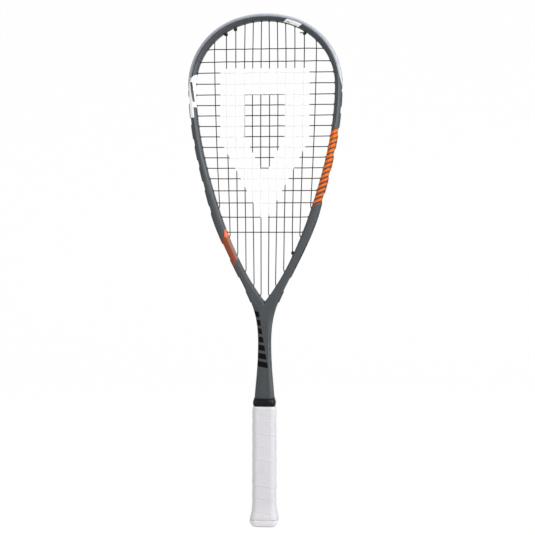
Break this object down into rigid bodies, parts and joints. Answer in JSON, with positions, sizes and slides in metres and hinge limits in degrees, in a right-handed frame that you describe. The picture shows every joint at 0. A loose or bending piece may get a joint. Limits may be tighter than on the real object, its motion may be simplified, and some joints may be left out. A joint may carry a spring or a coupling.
{
  "type": "squash racket",
  "caption": "Squash racket with an open-throat teardrop head, woven string bed, grommet strips, head bumper guard, rubber collar and taped flared handle.",
  "frame": {"origin": "centre of the flat butt end of the handle", "axes": "+Z along the racket from the butt to the crown of the head, X across the string bed in its plane, Y square to the string bed, front towards -Y"},
  "size_m": [0.2076, 0.0342, 0.6859],
  "materials": {
    "painted_composite": "satin lacquer over painted graphite composite, orange and white accents",
    "silver_nylon": "satin silver",
    "charcoal_nylon": "satin moulded nylon",
    "string": "coated multifilament, 1.2 mm",
    "foamed_core": "moulded polyurethane foam",
    "butt_plastic": "satin",
    "staple_steel": "bright wire",
    "grip": "soft perforated polyurethane tape",
    "vinyl_tape": "satin vinyl",
    "collar_rubber": "glossy moulded rubber",
    "foam": "open-cell foam"
  },
  "bodies": {
    "racket": {"frame": "painted_composite", "head_bumper_guard": "silver_nylon", "side_grommet_strip_left": "charcoal_nylon", "side_grommet_strip_right": "charcoal_nylon", "throat_grommet_strip_left": "charcoal_nylon", "throat_grommet_strip_right": "charcoal_nylon", "main_string": "string", "cross_string": "string", "knot_main_left": "string", "knot_main_right": "string", "knot_cross_start": "string", "knot_cross_end": "string", "handle_core": "foamed_core", "butt_cap": "butt_plastic", "cap_staple_left": "staple_steel", "cap_staple_right": "staple_steel", "grip_tape": "grip", "finishing_tape": "vinyl_tape", "shaft_plug_left": "foam", "shaft_plug_right": "foam"},
    "collar": {"collar": "collar_rubber"}
  },
  "joints": [
    {"name": "collar_slide", "type": "slide", "parent": "racket", "child": "collar", "axis": [0, 0, 1], "range_m": [0, 0.03]}
  ]
}
